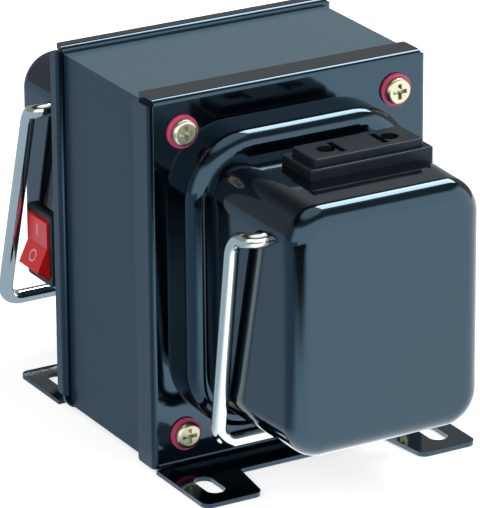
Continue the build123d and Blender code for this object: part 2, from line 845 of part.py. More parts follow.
with BuildPart() as fuse_holder_nut:
    with BuildSketch(upright(bell_face - sheet)):
        with Locations((fuse_x, fuse_z)):
            RegularPolygon(holder_nut_d / 2, 6)
            Circle(holder_d / 2, mode=Mode.SUBTRACT)
    extrude(amount=holder_nut_height)
fuse_holder_nut.part.label = "fuse_holder_nut"

with BuildPart() as fuse_cap:
    cap_out = holder_out + cap_gap + cap_height
    stem_end = holder_out + cap_gap - cap_stem
    with BuildSketch(upright(cap_out)):
        with Locations((fuse_x, fuse_z)):
            Circle(cap_d / 2)
    extrude(amount=cap_height)
    fillet(fuse_cap.edges().group_by(Axis.Y)[-1], tier_edge)
    with BuildSketch(upright(cap_out - cap_height)):
        with Locations((fuse_x, fuse_z)):
            Circle(holder_bore_d / 2 - cap_gap)
    extrude(amount=cap_stem)
    with BuildSketch(upright(fuse_out + cap_gap)):
        with Locations((fuse_x, fuse_z)):
            Circle(fuse_d / 2 + cap_gap)
    extrude(amount=fuse_out + cap_gap - stem_end, mode=Mode.SUBTRACT)
    with BuildSketch(upright(cap_out)):
        with Locations((fuse_x, fuse_z)):
            Rectangle(cap_slot[0], cap_slot[1])
    extrude(amount=cap_slot[2], mode=Mode.SUBTRACT)
fuse_cap.part.label = "fuse_cap"

with BuildPart() as fuse_glass:
    with BuildSketch(upright(fuse_out - ferrule_wall)):
        with Locations((fuse_x, fuse_z)):
            Circle(fuse_d / 2 - ferrule_wall)
            Circle(fuse_d / 2 - ferrule_wall - glass_wall, mode=Mode.SUBTRACT)
    extrude(amount=fuse_length - 2 * ferrule_wall)
fuse_glass.part.label = "fuse_glass"

with BuildPart() as fuse_ferrules:
    for end, inner in ((fuse_out, fuse_out - ferrule_wall), (fuse_in + ferrule_length, fuse_in + ferrule_length)):
        with BuildSketch(upright(end)):
            with Locations((fuse_x, fuse_z)):
                Circle(fuse_d / 2)
        extrude(amount=ferrule_length)
        with BuildSketch(upright(inner)):
            with Locations((fuse_x, fuse_z)):
                Circle(fuse_d / 2 - ferrule_wall)
        extrude(amount=ferrule_length - ferrule_wall, mode=Mode.SUBTRACT)
fuse_ferrules.part.label = "fuse_ferrules"

with BuildPart() as fuse_tabs:
    with BuildSketch(upright(holder_in)):
        with Locations((fuse_x, fuse_z)):
            Rectangle(end_tab[0], end_tab[1])
    extrude(amount=end_tab[2])
    with BuildSketch(side(fuse_x + holder_d / 2 - 0.2)):
        with Locations((holder_in + side_tab_place, fuse_z)):
            Rectangle(side_tab[0], side_tab[1])
    extrude(amount=side_tab[2])
    with BuildSketch(upright(holder_out)):
        with Locations((fuse_x, fuse_z)):
            Circle(holder_d / 2)
    extrude(amount=holder_out - holder_in, mode=Mode.SUBTRACT)
fuse_tabs.part.label = "fuse_tabs"

# Grommet that lines the mains lead's hole

with BuildPart() as cord_grommet:
    flange_out = bell_face + grommet_flange
    bead_out = bell_face - sheet
    with BuildSketch(upright(flange_out)):
        with Locations((grommet_x, grommet_z)):
            Circle(grommet_flange_d / 2)
    extrude(amount=grommet_flange)
    fillet(cord_grommet.edges().group_by(Axis.Y)[-1], tier_edge)
    with BuildSketch(upright(flange_out)):
        with Locations((grommet_x, grommet_z)):
            Circle(grommet_nose_d / 2)
    extrude(amount=-grommet_nose, taper=12)
    with BuildSketch(upright(bell_face)):
        with Locations((grommet_x, grommet_z)):
            Circle(grommet_neck_d / 2)
    extrude(amount=sheet)
    with BuildSketch(upright(bead_out)):
        with Locations((grommet_x, grommet_z)):
            Circle(grommet_bead_d / 2)
    extrude(amount=grommet_bead)
    with BuildSketch(upright(bead_out - grommet_bead)):
        with Locations((grommet_x, grommet_z)):
            Circle(grommet_nose_d / 2)
    extrude(amount=grommet_tail)
    with BuildSketch(upright(flange_out + grommet_nose)):
        with Locations((grommet_x, grommet_z)):
            Circle(cord_bore_d / 2)
    extrude(amount=bell_depth, mode=Mode.SUBTRACT)
cord_grommet.part.label = "cord_grommet"

export_step(e_laminations.part, "parts/e_laminations.step")
export_step(i_laminations.part, "parts/i_laminations.step")
export_step(coil_former.part, "parts/coil_former.step")
export_step(primary_winding.part, "parts/primary_winding.step")
export_step(layer_insulation.part, "parts/layer_insulation.step")
export_step(secondary_winding.part, "parts/secondary_winding.step")
export_step(coil_wrap.part, "parts/coil_wrap.step")
export_step(tag_board.part, "parts/tag_board.step")
export_step(solder_tags.part, "parts/solder_tags.step")
export_step(front_bell.part, "parts/front_bell.step")
export_step(rear_bell.part, "parts/rear_bell.step")
export_step(core_screws.part, "parts/core_screws.step")
export_step(fibre_washers.part, "parts/fibre_washers.step")
export_step(bolt_sleeves.part, "parts/bolt_sleeves.step")
export_step(lock_washers.part, "parts/lock_washers.step")
export_step(core_nuts.part, "parts/core_nuts.step")
export_step(outlet_body.part, "parts/outlet_body.step")
export_step(outlet_contacts.part, "parts/outlet_contacts.step")
export_step(front_bail.part, "parts/front_bail.step")
export_step(front_bail_clips.part, "parts/front_bail_clips.step")
export_step(rear_bail.part, "parts/rear_bail.step")
export_step(rear_bail_clips.part, "parts/rear_bail_clips.step")
export_step(switch_housing.part, "parts/switch_housing.step")
export_step(switch_rocker.part, "parts/switch_rocker.step")
export_step(switch_terminals.part, "parts/switch_terminals.step")
export_step(fuse_holder.part, "parts/fuse_holder.step")
export_step(fuse_holder_nut.part, "parts/fuse_holder_nut.step")
export_step(fuse_cap.part, "parts/fuse_cap.step")
export_step(fuse_glass.part, "parts/fuse_glass.step")
export_step(fuse_ferrules.part, "parts/fuse_ferrules.step")
export_step(fuse_tabs.part, "parts/fuse_tabs.step")
export_step(cord_grommet.part, "parts/cord_grommet.step")
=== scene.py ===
import bpy, math
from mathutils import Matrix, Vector


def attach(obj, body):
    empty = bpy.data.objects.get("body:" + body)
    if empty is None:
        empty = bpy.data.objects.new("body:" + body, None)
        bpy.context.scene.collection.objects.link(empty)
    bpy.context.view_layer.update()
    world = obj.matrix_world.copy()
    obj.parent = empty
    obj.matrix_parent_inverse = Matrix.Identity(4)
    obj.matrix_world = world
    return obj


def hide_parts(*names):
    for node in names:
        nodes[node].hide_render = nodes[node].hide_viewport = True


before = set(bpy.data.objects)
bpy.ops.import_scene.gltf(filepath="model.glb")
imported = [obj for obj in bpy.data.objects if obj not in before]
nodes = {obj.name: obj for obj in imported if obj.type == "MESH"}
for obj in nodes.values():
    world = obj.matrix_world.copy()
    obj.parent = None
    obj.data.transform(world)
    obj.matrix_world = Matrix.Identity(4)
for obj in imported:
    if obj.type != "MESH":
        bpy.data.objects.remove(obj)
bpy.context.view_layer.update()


# Camera
# The photograph's viewpoint: from the front left and above, far away with a long lens, as small
# goods are shot. Place, turn and lens come from a fit to the transformer's own corners.
def deselect():
    """Leaves nothing selected, because an operator acts on all that is."""
    for o in bpy.context.selected_objects:
        o.select_set(False)


camera_place = (-0.56593, -1.00099, 0.48488)
camera_turn = [math.radians(a) for a in (69.036, 0.45146, -29.6799)]
lens_length = 325.98

deselect()
bpy.ops.object.camera_add(location=camera_place, rotation=camera_turn)
camera = bpy.context.object
camera.name = "studio_camera"
camera.data.lens = lens_length
camera.data.clip_end = 20
bpy.context.scene.camera = camera
bpy.context.scene.view_settings.view_transform = "Standard"


# Studio
# A sweep of white paper in a white tent, under three soft lamps. Gloss sees the tent and the paper
# brighter than the camera's white and darker behind, which gives black enamel its blue grey walls.
def linear(code):
    """Linear colour of an sRGB hex value."""
    parts = [int(code[i:i + 2], 16) / 255 for i in (0, 2, 4)]
    return [p / 12.92 if p <= 0.04045 else ((p + 0.055) / 1.055) ** 2.4 for p in parts] + [1.0]


def put(tree, kind, inputs=None, **settings):
    """Adds one node, sets its settings, and fills its inputs with values or links.

    A Map Range takes a value as input 0, the range it has as 1 and 2, and the range it gets as 3
    and 4. A Mix takes the share as input 0, then two numbers as 2 and 3, or two colours as 6 and 7;
    the mixed colour is output 2.
    """
    made = tree.nodes.new(kind)
    for name, value in settings.items():
        setattr(made, name, value)
    for socket, value in (inputs or {}).items():
        if isinstance(value, tuple) and isinstance(value[0], bpy.types.Node):
            tree.links.new(value[0].outputs[value[1]], made.inputs[socket])
        else:
            made.inputs[socket].default_value = value
    return made


def blank(name):
    """A new material with an empty node tree."""
    made = bpy.data.materials.new(name)
    made.use_nodes = True
    made.node_tree.nodes.clear()
    return made, made.node_tree


soft = {"interpolation_type": "SMOOTHSTEP"}
white = linear("FFFFFF")
gloss_white = 2.3
room_light = 0.5

# In gloss the tent's wall is bright in front and dim behind. Higher up comes a dark gap, and above
# it the roof. The limits are parts of the unit vector that points to that place in the tent.
front_wall_end = -0.35
back_wall_start = 0.1
back_wall = 0.16
gap_start = 0.5
gap_full = 0.68
gap_level = 0.12
roof_start = 0.82
roof_full = 0.95
roof_level = 0.7
world = bpy.data.worlds.new("white_tent")
bpy.context.scene.world = world
world.use_nodes = True
sky = world.node_tree
sky.nodes.clear()
seen = put(sky, "ShaderNodeLightPath")
in_gloss = put(sky, "ShaderNodeMath", {0: (seen, "Is Glossy Ray"), 1: (seen, "Is Transmission Ray")},
               operation="MAXIMUM")
toward = put(sky, "ShaderNodeTexCoord")
axes = put(sky, "ShaderNodeSeparateXYZ", {0: (toward, "Generated")})
wall = put(sky, "ShaderNodeMapRange", {0: (axes, "Y"), 1: back_wall_start, 2: front_wall_end,
                                       3: back_wall, 4: 1.0}, **soft)
gap = put(sky, "ShaderNodeMapRange", {0: (axes, "Z"), 1: gap_start, 2: gap_full,
                                      3: 1.0, 4: gap_level}, **soft)
tent_wall = put(sky, "ShaderNodeMath", {0: (wall, 0), 1: (gap, 0)}, operation="MULTIPLY")
roof = put(sky, "ShaderNodeMapRange", {0: (axes, "Z"), 1: roof_start, 2: roof_full,
                                       3: 0.0, 4: roof_level}, **soft)
around = put(sky, "ShaderNodeMath", {0: (tent_wall, 0), 1: (roof, 0)}, operation="MAXIMUM")
around = put(sky, "ShaderNodeMath", {0: (around, 0), 1: gloss_white}, operation="MULTIPLY")
strength = put(sky, "ShaderNodeMix", {0: (in_gloss, 0), 2: room_light, 3: (around, 0)})
strength = put(sky, "ShaderNodeMix", {0: (seen, "Is Camera Ray"), 2: (strength, 0), 3: 1.0})
tent = put(sky, "ShaderNodeBackground", {"Color": white, "Strength": (strength, 0)})
put(sky, "ShaderNodeOutputWorld", {"Surface": (tent, 0)})

# In gloss only, the paper carries painted shade: it is dimmer and cooler towards the back left, and has a
# painted dark round spot towards the camera, which gives the dark tongue on the bell's left front edge.
paper_drop = 0.0001
back_left = (-0.707, 0.707, 0.0)
shade_start = -0.035
shade_end = 0.03
shade_level = 0.82
spot_place = (-0.19, -0.335, 0.0)
spot_core = 0.13
spot_rim = 0.225
spot_level = 0.04
paper_glow = 0.7

bpy.ops.mesh.primitive_plane_add(size=6, location=(0, 0, -paper_drop))
floor = bpy.context.object
floor.name = "paper_sweep"
paper, tree = blank("white_paper")
path = put(tree, "ShaderNodeLightPath")
where = put(tree, "ShaderNodeTexCoord")
away = put(tree, "ShaderNodeVectorMath", {0: (where, "Object"), 1: back_left}, operation="DOT_PRODUCT")
# Painted shade, seen only in gloss: darker and cooler towards the back left, and darker still in one round
# spot.
painted_gloss_shade = put(tree, "ShaderNodeMapRange", {0: (away, "Value"), 1: shade_start, 2: shade_end,
                                        3: gloss_white, 4: shade_level}, **soft)
cool = put(tree, "ShaderNodeMapRange", {0: (away, "Value"), 1: shade_start, 2: shade_end, 3: 0.0, 4: 1.0})
cool = put(tree, "ShaderNodeMix", {0: (cool, 0), 6: white, 7: linear("D0E2F6")}, data_type="RGBA")
from_spot = put(tree, "ShaderNodeVectorMath", {0: (where, "Object"), 1: spot_place}, operation="DISTANCE")
painted_dark_spot = put(tree, "ShaderNodeMapRange", {0: (from_spot, "Value"), 1: spot_core, 2: spot_rim,
                                        3: spot_level, 4: 1.0}, **soft)
painted_gloss_shade = put(tree, "ShaderNodeMath", {0: (painted_gloss_shade, 0), 1: (painted_dark_spot, 0)}, operation="MULTIPLY")
in_gloss = put(tree, "ShaderNodeMath", {0: (path, "Is Glossy Ray"), 1: (path, "Is Transmission Ray")},
               operation="MAXIMUM")
matt = put(tree, "ShaderNodeBsdfDiffuse", {"Color": linear("D8D8D8")})
lit = put(tree, "ShaderNodeEmission", {"Color": white, "Strength": paper_glow})
both = put(tree, "ShaderNodeAddShader", {0: (matt, 0), 1: (lit, 0)})
shown = put(tree, "ShaderNodeMixShader", {0: (path, "Is Camera Ray"), 1: (matt, 0), 2: (both, 0)})
gloss = put(tree, "ShaderNodeEmission", {"Color": (cool, 2), "Strength": (painted_gloss_shade, 0)})
mixed = put(tree, "ShaderNodeMixShader", {0: (in_gloss, 0), 1: (shown, 0), 2: (gloss, 0)})
put(tree, "ShaderNodeOutputMaterial", {"Surface": (mixed, 0)})
floor.data.materials.append(paper)

lamp_aim = Vector((0, 0, 0.05))
for name, place, size, power, shows_in_gloss in (
    ("overhead_box", (0.62, 0.25, 0.95), 0.5, 10.0, True),
    ("front_box", (0.5, -1.2, 1.0), 0.7, 5.0, False),
    ("left_box", (-1.1, -0.3, 0.8), 0.7, 3.0, False),
):
    bpy.ops.object.light_add(type="AREA", location=place)
    lamp = bpy.context.object
    lamp.name = name
    lamp.data.size = size
    lamp.data.energy = power
    lamp.visible_glossy = shows_in_gloss
    lamp.rotation_euler = (lamp_aim - Vector(place)).to_track_quat("-Z", "Y").to_euler()


def dress(material, *names):
    """Gives a CAD node's every material slot this material."""
    for name in names:
        for slot in nodes[name].material_slots:
            slot.material = material


def noise_scale(patches, length):
    """Scale of a noise texture that has this many patches in a length in millimetres."""
    return 1000 * patches / length


def wave_scale(period):
    """Scale of a wave texture that repeats after this many millimetres."""
    return 314.16 / period


# Black varnish, dipped: satin and bluish, and paler on the faces that look up, which is painted light from
# above. The lines are drawn at twice the 0.5 mm sheet, because closer ones don't show in the render.
line_pitch = 1.0
varnish, tree = blank("black_core_varnish_on_lamination_edges")
where = put(tree, "ShaderNodeTexCoord")
turned = put(tree, "ShaderNodeMapping", {"Vector": (where, "Object"), "Rotation": (0, 0, math.radians(90))})
sheets = put(tree, "ShaderNodeTexWave", {"Vector": (turned, 0), "Scale": wave_scale(line_pitch),
                                         "Distortion": 0.15, "Detail": 1.0, "Detail Scale": 2.0})
mottle = put(tree, "ShaderNodeTexNoise", {"Vector": (where, "Object"), "Scale": noise_scale(9, 100),
                                          "Detail": 4.0})
tone = put(tree, "ShaderNodeMix", {0: (mottle, 0), 6: linear("1B2C3A"), 7: linear("233645")},
           data_type="RGBA")
surface = put(tree, "ShaderNodeNewGeometry")
facing = put(tree, "ShaderNodeSeparateXYZ", {0: (surface, "Normal")})
# Painted light from above: faces that look up are mixed towards a paler tone.
painted_top_light = put(tree, "ShaderNodeMapRange", {0: (facing, "Z"), 1: 0.6, 2: 0.9, 3: 0.0, 4: 0.5})
tone = put(tree, "ShaderNodeMix", {0: (painted_top_light, 0), 6: (tone, 2), 7: linear("57717A")}, data_type="RGBA")
rough = put(tree, "ShaderNodeMapRange", {0: (mottle, 0), 3: 0.26, 4: 0.38})
depth = put(tree, "ShaderNodeBump", {"Height": (sheets, 1), "Strength": 0.06, "Distance": 0.0001})
skin = put(tree, "ShaderNodeBsdfPrincipled", {
    "Base Color": (tone, 2), "Roughness": (rough, 0), "Normal": (depth, 0),
    "Specular Tint": linear("A9D6FF"), "Specular IOR Level": 0.36})
put(tree, "ShaderNodeOutputMaterial", {"Surface": (skin, 0)})
dress(varnish, "e_laminations", "i_laminations")


# Coil
# Wire wound on a pressboard former, with a yellow polyester tape between and over the windings, and
# a board with tinned tags for the leads. Inside the core and the bells, little of it can be seen.

# Pressboard, calendered: pale, matt and fibrous.
board, tree = blank("pale_pressboard")
where = put(tree, "ShaderNodeTexCoord")
fibre = put(tree, "ShaderNodeTexNoise", {"Vector": (where, "Object"), "Scale": noise_scale(7, 10),
                                         "Detail": 6.0, "Roughness": 0.7})
tone = put(tree, "ShaderNodeMix", {0: (fibre, 0), 6: linear("B99F75"), 7: linear("D3BD95")}, data_type="RGBA")
depth = put(tree, "ShaderNodeBump", {"Height": (fibre, 0), "Strength": 0.3, "Distance": 0.0001})
skin = put(tree, "ShaderNodeBsdfPrincipled", {"Base Color": (tone, 2), "Roughness": 0.8,
                                              "Normal": (depth, 0)})
put(tree, "ShaderNodeOutputMaterial", {"Surface": (skin, 0)})
dress(board, "coil_former", "bolt_sleeves")

# Enamelled copper wire, wound close: a brown metal in fine ribs, one to each turn, with painted shade in the
# grooves and a painted highlight on the crowns.
wire_pitch = 0.60415
wire, tree = blank("enamelled_copper_wire")
where = put(tree, "ShaderNodeTexCoord")
turns = put(tree, "ShaderNodeTexWave", {"Vector": (where, "Object"), "Scale": wave_scale(wire_pitch),
                                        "Distortion": 0.2}, bands_direction="X")
# Painted shade and highlight: the tone follows the ribs, dark in the grooves and light on the crowns.
tone = put(tree, "ShaderNodeMix", {0: (turns, 1), 6: linear("6E2F12"), 7: linear("B5622B")}, data_type="RGBA")
depth = put(tree, "ShaderNodeBump", {"Height": (turns, 1), "Strength": 0.8, "Distance": 0.0003})
skin = put(tree, "ShaderNodeBsdfPrincipled", {"Base Color": (tone, 2), "Metallic": 0.7, "Roughness": 0.3,
                                              "Normal": (depth, 0)})
put(tree, "ShaderNodeOutputMaterial", {"Surface": (skin, 0)})
dress(wire, "primary_winding", "secondary_winding")

# Polyester tape, wrapped in laps: yellow and a little shiny, with a soft change of tone at each lap.
lap_width = 7.854
tape, tree = blank("yellow_polyester_tape")
where = put(tree, "ShaderNodeTexCoord")
laps = put(tree, "ShaderNodeTexWave", {"Vector": (where, "Object"), "Scale": wave_scale(lap_width),
                                       "Distortion": 0.5}, bands_direction="X")
tone = put(tree, "ShaderNodeMix", {0: (laps, 1), 6: linear("C79A2B"), 7: linear("D9B24A")}, data_type="RGBA")
skin = put(tree, "ShaderNodeBsdfPrincipled", {"Base Color": (tone, 2), "Roughness": 0.35})
put(tree, "ShaderNodeOutputMaterial", {"Surface": (skin, 0)})
dress(tape, "layer_insulation", "coil_wrap")

# Resin-bonded paper board, pressed: brown and satin, with the paper's fibre in its tone.
laminate, tree = blank("brown_paper_laminate")
where = put(tree, "ShaderNodeTexCoord")
fibre = put(tree, "ShaderNodeTexNoise", {"Vector": (where, "Object"), "Scale": noise_scale(4, 10),
                                         "Detail": 5.0})
tone = put(tree, "ShaderNodeMix", {0: (fibre, 0), 6: linear("5B3A1E"), 7: linear("7A5230")}, data_type="RGBA")
skin = put(tree, "ShaderNodeBsdfPrincipled", {"Base Color": (tone, 2), "Roughness": 0.45})
put(tree, "ShaderNodeOutputMaterial", {"Surface": (skin, 0)})
dress(laminate, "tag_board")

# Brass, stamped and tin plated: a soft grey metal with faint stains.
tinned, tree = blank("tin_plated_brass")
where = put(tree, "ShaderNodeTexCoord")
stain = put(tree, "ShaderNodeTexNoise", {"Vector": (where, "Object"), "Scale": noise_scale(3, 10),
                                         "Detail": 3.0})
tone = put(tree, "ShaderNodeMix", {0: (stain, 0), 6: linear("B9B7B0"), 7: linear("D2D0C8")}, data_type="RGBA")
skin = put(tree, "ShaderNodeBsdfPrincipled", {"Base Color": (tone, 2), "Metallic": 1.0, "Roughness": 0.32})
put(tree, "ShaderNodeOutputMaterial", {"Surface": (skin, 0)})
dress(tinned, "solder_tags", "switch_terminals", "fuse_tabs")


# Bells
# Two covers deep-drawn from 1.2 mm sheet steel and enamelled black. Flange, lips, rim and feet keep
# the CAD shape; shoulder and deep part are drawn again, with other edge radii than the solid's.

# Stoving enamel: a black mirror with a slight orange peel, hazier where dust lies on it, so flat
# walls show the paper and the tent as blue grey and each other as near black.
enamel, tree = blank("gloss_black_stoving_enamel")
where = put(tree, "ShaderNodeTexCoord")
peel = put(tree, "ShaderNodeTexNoise", {"Vector": (where, "Object"), "Scale": noise_scale(16, 100),
                                        "Detail": 1.0})
dust = put(tree, "ShaderNodeTexNoise", {"Vector": (where, "Object"), "Scale": noise_scale(35, 1000),
                                        "Detail": 6.0, "Roughness": 0.65})
rough = put(tree, "ShaderNodeMapRange", {0: (dust, 0), 1: 0.35, 2: 0.75, 3: 0.055, 4: 0.12})
depth = put(tree, "ShaderNodeBump", {"Height": (peel, 0), "Strength": 0.05, "Distance": 0.0004})
skin = put(tree, "ShaderNodeBsdfPrincipled", {
    "Base Color": linear("03060B"), "Roughness": (rough, 0), "Normal": (depth, 0),
    "IOR": 1.69, "Specular Tint": linear("AFDFFF")})
put(tree, "ShaderNodeOutputMaterial", {"Surface": (skin, 0)})

crease = math.radians(30)
weld_distance = 0.000002
corner_steps = 16
rim_steps = 10
circle_steps = 48
sheet = 0.0012


def pick(piece):
    """Selects one piece alone and makes it the active one."""
    deselect()
    piece.select_set(True)
    bpy.context.view_layer.objects.active = piece


def finish_shading(piece):
    """Smooth shading with sharp corners kept, and flat faces that stay flat between rounded edges."""
    pick(piece)
    bpy.ops.object.shade_smooth_by_angle(angle=crease)
    for made in piece.modifiers[:]:
        bpy.ops.object.modifier_apply(modifier=made.name)
    even = piece.modifiers.new("even", "WEIGHTED_NORMAL")
    even.keep_sharp = True
    even.weight = 80
    bpy.ops.object.modifier_apply(modifier="even")


def smooth_copy(name, title):
    """A welded copy of a CAD node, which then stands for that node."""
    made = nodes[name].copy()
    made.data = nodes[name].data.copy()
    made.name = title
    for key in list(made.keys()):
        del made[key]
    made.parent = None
    bpy.context.scene.collection.objects.link(made)
    pick(made)
    if made.data.has_custom_normals:
        bpy.ops.mesh.customdata_custom_splitnormals_clear()
    bpy.ops.object.mode_set(mode="EDIT")
    bpy.ops.mesh.select_all(action="SELECT")
    bpy.ops.mesh.remove_doubles(threshold=weld_distance)
    bpy.ops.object.mode_set(mode="OBJECT")
    made.data.materials.clear()
    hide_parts(name)
    return made


def rounded_plate(width, height, corner, place, way):
    """A rounded upright plate as one face that looks towards -Y or +Y, left in edit mode."""
    deselect()
    bpy.ops.mesh.primitive_plane_add(size=1, location=place, rotation=(math.radians(90 * way), 0, 0))
    made = bpy.context.object
    bpy.ops.object.mode_set(mode="EDIT")
    bpy.ops.transform.resize(value=(width, 1, height))
    bpy.ops.mesh.bevel(offset=corner, segments=corner_steps, affect="VERTICES")
    bpy.ops.mesh.select_mode(type="FACE")
    bpy.ops.mesh.select_all(action="SELECT")
    return made


def round_rim(radius):
    """Rounds the rim of the face that was pushed out last, and leaves edit mode."""
    bpy.ops.mesh.region_to_loop()
    bpy.ops.mesh.bevel(offset=radius, segments=rim_steps, affect="EDGES")
    bpy.ops.object.mode_set(mode="OBJECT")
    bpy.ops.object.transform_apply(location=True, rotation=True, scale=True)


def open_end(piece, margin):
    """Takes the middle out of the piece's largest face, and leaves a rim of this width round it."""
    largest = max(piece.data.polygons, key=lambda part: part.area).index
    for item in list(piece.data.vertices) + list(piece.data.edges) + list(piece.data.polygons):
        item.select = False
    piece.data.polygons[largest].select = True
    bpy.ops.object.mode_set(mode="EDIT")
    bpy.ops.mesh.select_mode(type="FACE")
    bpy.ops.mesh.inset(thickness=margin, use_even_offset=True)
    bpy.ops.mesh.delete(type="FACE")
    bpy.ops.object.mode_set(mode="OBJECT")


def give_thickness(piece):
    """Gives a drawn skin the thickness of the bell's sheet, on its inside."""
    pick(piece)
    solid = piece.modifiers.new("sheet", "SOLIDIFY")
    solid.thickness = sheet
    solid.offset = -1
    solid.use_even_offset = True
    bpy.ops.object.modifier_apply(modifier="sheet")


def cut(piece, cutter):
    """Takes one shape out of another."""
    pick(piece)
    hole = piece.modifiers.new("hole", "BOOLEAN")
    hole.operation = "DIFFERENCE"
    hole.object = cutter
    bpy.ops.object.modifier_apply(modifier="hole")
    bpy.data.objects.remove(cutter)


def block(place, size):
    """A block-shaped cutter."""
    bpy.ops.mesh.primitive_cube_add(size=1, location=place, scale=size)
    return bpy.context.object


def drill(place, radius, depth, turn):
    """A round cutter."""
    bpy.ops.mesh.primitive_cylinder_add(vertices=circle_steps, radius=radius, depth=depth,
                                        location=place, rotation=turn)
    return bpy.context.object


# The core's middle plane, its centre height, and how far from the middle a flange's outer face lies.
middle = -0.0025
core_centre = 0.0514
flange = 0.0252
# How far new faces stand off the flange's plane, and two margins for telling the flange's own
# faces from those of the shoulder.
proud = 0.00001
on_plane = 0.00005
inner_margin = 0.0001

# The shoulder inside its rim, and the ledge that it leaves round the deep part. Depths, here and
# below, count from the flange.
shoulder_width = 0.068
shoulder_height = 0.0824
shoulder_corner = 0.018
shoulder_depth = 0.0085
shoulder_edge = 0.0046
ledge = 0.0030
rim_width = shoulder_width + 2 * sheet
rim_height = shoulder_height + 2 * sheet

# The deep part where it leaves the shoulder, how far it starts inside it, the bell's whole depth,
# the front edge, and the share of width and height that the draft leaves at the front.
deep_width = 0.0582
deep_height = 0.0698
deep_corner = 0.010
deep_overlap = 0.001
deep_start = shoulder_depth - deep_overlap
bell_depth = 0.050
front_edge = 0.005
front_share = (0.968, 1, 0.9733)

# The holes: for the bail ends, and for outlet, rocker switch, fuse holder and mains grommet.
across = (0, math.radians(90), 0)
along = (math.radians(90), 0, 0)
bail_height = 0.0750
bail_hole = 0.00208
bail_drill = 0.080
front_bail_y = middle - 0.0617
rear_bail_y = middle + 0.0547
outlet_place = (0.006, -0.0519, 0.0860)
outlet_opening = (0.0316, 0.0110, 0.030)
switch_y = middle + 0.0606
switch_place = (-0.0280, switch_y, 0.0338)
switch_opening = (0.030, 0.0131, 0.0195)
fuse_place = (0.0125, 0.0690, 0.0440)
fuse_hole = 0.00595
fuse_drill = 0.060
lead_place = (-0.0125, 0.0690, 0.0400)
lead_hole = 0.0062
lead_drill = 0.030

for name, title, way in (("front_bell", "drawn_front_bell", 1), ("rear_bell", "drawn_rear_bell", -1)):
    face = middle - way * flange
    bell = smooth_copy(name, title)
    bpy.ops.object.mode_set(mode="EDIT")
    bpy.ops.mesh.select_mode(type="FACE")
    bpy.ops.mesh.select_all(action="DESELECT")
    bpy.ops.object.mode_set(mode="OBJECT")
    for part in bell.data.polygons:
        x, y, z = part.center
        out = way * (middle - y)
        inside = abs(x) < rim_width / 2 and abs(z - core_centre) < rim_height / 2
        on_flange = abs(part.normal.y) > 0.99 and abs(out - flange) < on_plane
        part.select = inside and out > flange - sheet + inner_margin and not on_flange
    bpy.ops.object.mode_set(mode="EDIT")
    bpy.ops.mesh.delete(type="FACE")
    bpy.ops.object.mode_set(mode="OBJECT")

    tray = rounded_plate(rim_width, rim_height, shoulder_corner + sheet,
                         (0, face - way * proud, core_centre), way)
    bpy.ops.mesh.inset(thickness=sheet, use_even_offset=True)
    bpy.ops.mesh.extrude_region_move(TRANSFORM_OT_translate={"value": (0, -way * shoulder_depth, 0)})
    round_rim(shoulder_edge)
    open_end(tray, ledge)
    give_thickness(tray)

    deep = rounded_plate(deep_width, deep_height, deep_corner,
                         (0, face - way * deep_start, core_centre), way)
    push = (0, -way * (bell_depth - deep_start - proud), 0)
    bpy.ops.mesh.extrude_region_move(TRANSFORM_OT_translate={"value": push})
    bpy.ops.transform.resize(value=front_share, center_override=(0, face, core_centre))
    round_rim(front_edge)
    give_thickness(deep)
    deselect()
    if way == 1:
        cut(deep, block(outlet_place, outlet_opening))
        cut(deep, drill((0, front_bail_y, bail_height), bail_hole, bail_drill, across))
    else:
        cut(deep, drill((0, rear_bail_y, bail_height), bail_hole, bail_drill, across))
        cut(deep, block(switch_place, switch_opening))
        cut(deep, drill(fuse_place, fuse_hole, fuse_drill, along))
        cut(deep, drill(lead_place, lead_hole, lead_drill, along))
    deselect()
    for piece in (tray, deep, bell):
        piece.select_set(True)
    bpy.context.view_layer.objects.active = bell
    bpy.ops.object.join()
    bell.data.materials.clear()
    bell.data.materials.append(enamel)
    finish_shading(bell)
    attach(bell, "transformer")


# Screws, nuts and washers
# Four M4 pan-head screws in yellow passivated zinc pull the stack together. Red fibre washers keep
# them from shorting the sheets; split lock washers and hexagon nuts close them at the back.

# Yellow passivated zinc: a soft metal that drifts between olive, straw and pale grey.
zinc, tree = blank("yellow_passivated_zinc")
where = put(tree, "ShaderNodeTexCoord")
sheen = put(tree, "ShaderNodeTexNoise", {"Vector": (where, "Object"), "Scale": noise_scale(26, 100),
                                         "Detail": 3.0})
tone = put(tree, "ShaderNodeValToRGB", {0: (sheen, 0)})
tone.color_ramp.elements[0].color = linear("8E8B70")
tone.color_ramp.elements[1].color = linear("CDCFC0")
halfway = tone.color_ramp.elements.new(0.5)
halfway.color = linear("B3B39A")
skin = put(tree, "ShaderNodeBsdfPrincipled", {"Base Color": (tone, 0), "Metallic": 1.0, "Roughness": 0.3})
put(tree, "ShaderNodeOutputMaterial", {"Surface": (skin, 0)})
dress(zinc, "core_screws", "core_nuts", "lock_washers")

# Vulcanised fibre, dyed and stamped: a satin pinkish red that varies with the paper's fibre.
fibre_red, tree = blank("red_vulcanised_fibre")
where = put(tree, "ShaderNodeTexCoord")
fibre = put(tree, "ShaderNodeTexNoise", {"Vector": (where, "Object"), "Scale": noise_scale(9, 10),
                                         "Detail": 4.0})
tone = put(tree, "ShaderNodeMix", {0: (fibre, 0), 6: linear("CC3364"), 7: linear("E2608A")}, data_type="RGBA")
skin = put(tree, "ShaderNodeBsdfPrincipled", {"Base Color": (tone, 2), "Roughness": 0.5})
put(tree, "ShaderNodeOutputMaterial", {"Surface": (skin, 0)})
dress(fibre_red, "fibre_washers")


# Outlet
# A two-pin outlet moulded in black phenolic, let into the roof of the front bell, with spring brass
# contacts inside.

